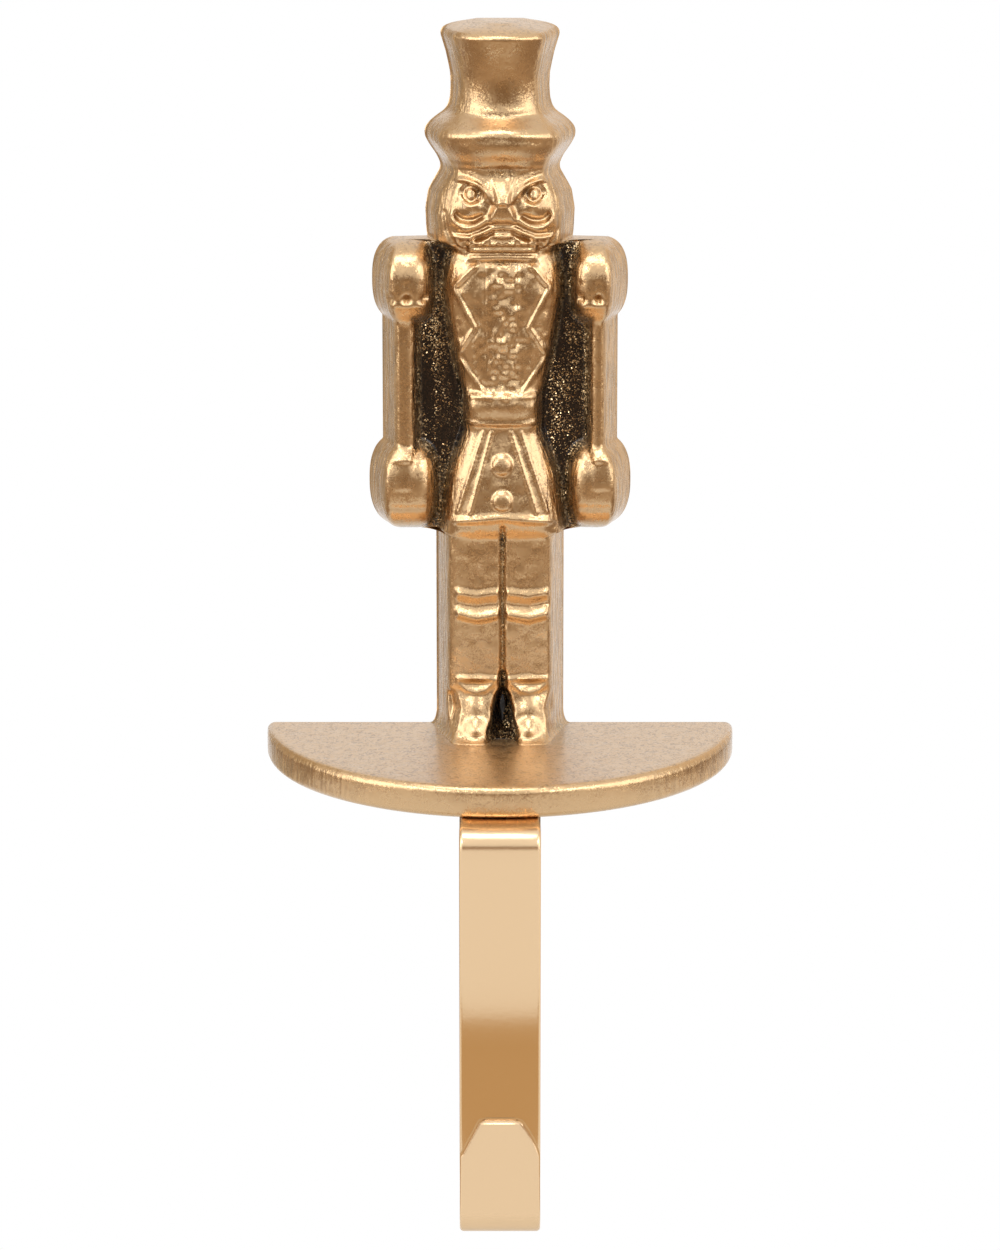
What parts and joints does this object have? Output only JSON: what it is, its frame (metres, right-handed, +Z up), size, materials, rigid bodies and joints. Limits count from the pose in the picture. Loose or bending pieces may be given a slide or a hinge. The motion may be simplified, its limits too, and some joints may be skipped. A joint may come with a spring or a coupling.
{
  "type": "mantel stocking holder",
  "caption": "Cast soldier figure on a half-round weighted base that rests on a mantel, with a flat strap bent into a hook in front of and below the edge.",
  "frame": {"origin": "middle of the straight back edge of the pad's underside, in the plane that lies on the mantel", "axes": "+Z up along the figure, -Y towards the front where the hook hangs, +X to the right seen from the front"},
  "size_m": [0.095, 0.0837, 0.2251],
  "materials": {
    "cast_gold": "metallic champagne-gold paint over a slightly rough sand casting",
    "strap_gold": "smooth satin champagne-gold paint on flat steel bar",
    "screw_steel": "zinc-plated steel",
    "pad_rubber": "matte foam rubber"
  },
  "bodies": {
    "root": {"cast_figure_base": "cast_gold", "hook_strap": "strap_gold", "fixing_screws": "screw_steel", "mantel_pad": "pad_rubber"}
  },
  "joints": []
}
